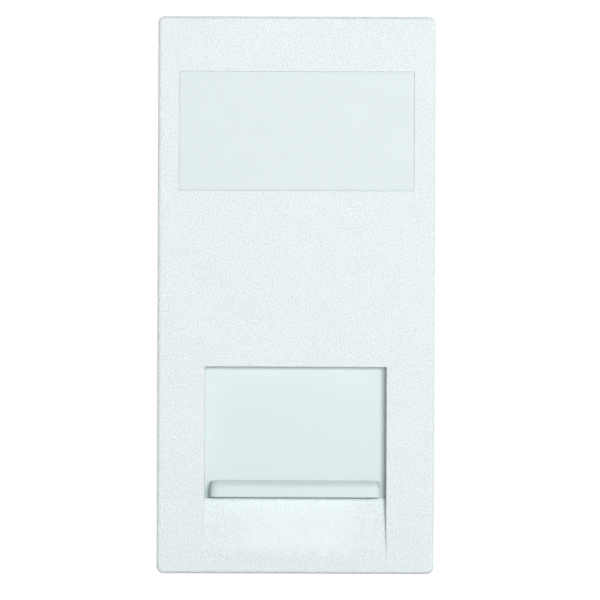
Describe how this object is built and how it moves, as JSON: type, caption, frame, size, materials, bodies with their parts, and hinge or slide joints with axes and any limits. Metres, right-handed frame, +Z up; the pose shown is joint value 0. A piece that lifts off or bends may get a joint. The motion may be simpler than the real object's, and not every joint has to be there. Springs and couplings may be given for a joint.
{
  "type": "master telephone socket",
  "caption": "Narrow white telephone socket module with a plain label plate, a sprung sliding shutter over its plug opening, and wire terminals on a circuit board at the back.",
  "frame": {"origin": "middle of the seat, the plane at the back of the face's rim that rests on the frame", "axes": "+X to the right seen from the front, +Y back into the wall, +Z up"},
  "size_m": [0.025, 0.0283, 0.05],
  "materials": {
    "white_moulding": "fine spark-eroded texture",
    "label_plastic": "smooth satin",
    "shutter_plastic": "smooth satin",
    "spring_steel": "drawn wire",
    "jack_plastic": "moulded, matt",
    "contact_metal": "gold plated spring strip",
    "board_laminate": "green solder mask",
    "terminal_plastic": "moulded, satin",
    "blade_metal": "tinned sheet",
    "capacitor_case": "moulded case",
    "lead_metal": "tinned wire",
    "arrester_ceramic": "fired ceramic",
    "arrester_metal": "plated",
    "resistor_coating": "lacquer with colour bands",
    "screw_steel": "zinc plated"
  },
  "bodies": {
    "module": {"face_moulding": "white_moulding", "label_plate": "label_plastic", "shutter_spring": "spring_steel", "jack_housing": "jack_plastic", "line_contact_1": "contact_metal", "line_contact_2": "contact_metal", "line_contact_3": "contact_metal", "line_contact_4": "contact_metal", "line_contact_5": "contact_metal", "line_contact_6": "contact_metal", "contact_retainer": "jack_plastic", "circuit_board": "board_laminate", "terminal_block_left": "terminal_plastic", "terminal_block_right": "terminal_plastic", "terminal_blade_1": "blade_metal", "terminal_blade_2": "blade_metal", "terminal_blade_3": "blade_metal", "terminal_blade_4": "blade_metal", "terminal_blade_5": "blade_metal", "terminal_blade_6": "blade_metal", "bell_capacitor": "capacitor_case", "bell_capacitor_leads": "lead_metal", "surge_arrester": "arrester_ceramic", "surge_arrester_caps": "arrester_metal", "surge_arrester_leads": "lead_metal", "test_resistor": "resistor_coating", "test_resistor_leads": "lead_metal", "board_screws": "screw_steel"},
    "door": {"shutter": "shutter_plastic"}
  },
  "joints": [
    {"name": "shutter_slide", "type": "slide", "parent": "module", "child": "door", "axis": [0, 0, 1], "range_m": [0, 0.01], "stiffness_N_per_m": 120, "springref_m": -0.006, "deforming": ["shutter_spring"]}
  ]
}
